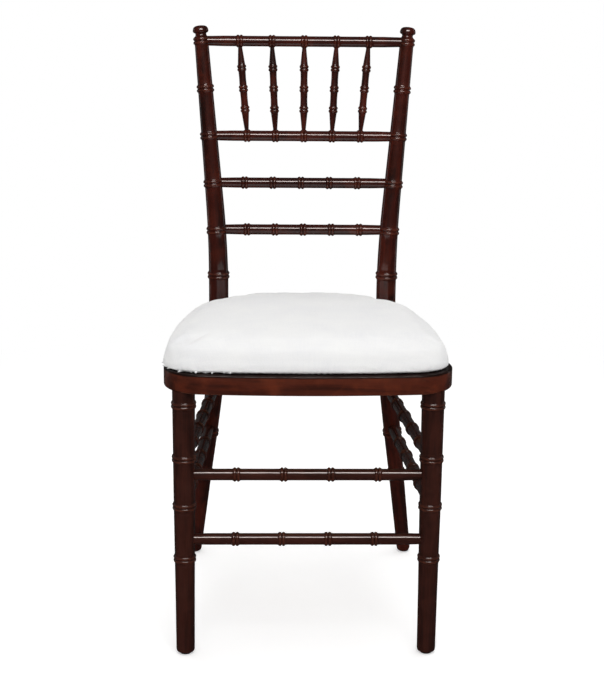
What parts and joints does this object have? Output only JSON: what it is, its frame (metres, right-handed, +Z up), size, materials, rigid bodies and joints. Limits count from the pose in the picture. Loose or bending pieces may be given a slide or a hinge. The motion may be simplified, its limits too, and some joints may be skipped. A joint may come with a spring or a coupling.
{
  "type": "chiavari dining chair",
  "caption": "Slim turned-wood dining chair with double-bead rings, a spindle back, turned stretchers, a flat wooden seat and a loose padded cushion.",
  "frame": {"origin": "on the floor, midway between the sides and midway front to back", "axes": "+X to the side at the viewer's right seen from the front, +Y to the back, +Z up"},
  "size_m": [0.4246, 0.4702, 0.9131],
  "materials": {
    "stained_hardwood": "dark mahogany stain under satin lacquer",
    "block_wood": "bare wood",
    "plywood": "bare plywood",
    "glide_plastic": "smooth",
    "cushion_cloth": "smooth white cloth",
    "cushion_filling": "open cell foam"
  },
  "bodies": {
    "chair": {"back_post_left": "stained_hardwood", "back_post_right": "stained_hardwood", "front_leg_left": "stained_hardwood", "front_leg_right": "stained_hardwood", "crest_rail": "stained_hardwood", "spindle_rail": "stained_hardwood", "upper_back_rail": "stained_hardwood", "lower_back_rail": "stained_hardwood", "spindle_1": "stained_hardwood", "spindle_2": "stained_hardwood", "spindle_3": "stained_hardwood", "spindle_4": "stained_hardwood", "spindle_5": "stained_hardwood", "front_stretcher_upper": "stained_hardwood", "front_stretcher_lower": "stained_hardwood", "side_stretcher_left_upper": "stained_hardwood", "side_stretcher_left_lower": "stained_hardwood", "side_stretcher_right_upper": "stained_hardwood", "side_stretcher_right_lower": "stained_hardwood", "rear_stretcher": "stained_hardwood", "seat_front_rail": "stained_hardwood", "seat_side_rail_left": "stained_hardwood", "seat_side_rail_right": "stained_hardwood", "seat_rear_rail": "stained_hardwood", "corner_block_front_left": "block_wood", "corner_block_front_right": "block_wood", "corner_block_rear_left": "block_wood", "corner_block_rear_right": "block_wood", "seat_panel": "plywood", "glide_front_left": "glide_plastic", "glide_front_right": "glide_plastic", "glide_rear_left": "glide_plastic", "glide_rear_right": "glide_plastic"},
    "cushion": {"cushion_cover": "cushion_cloth", "cushion_foam": "cushion_filling", "cushion_board": "plywood"}
  },
  "joints": [
    {"name": "cushion_lift", "type": "slide", "parent": "chair", "child": "cushion", "axis": [0, 0, 1], "range_m": [0, 0.08]}
  ]
}
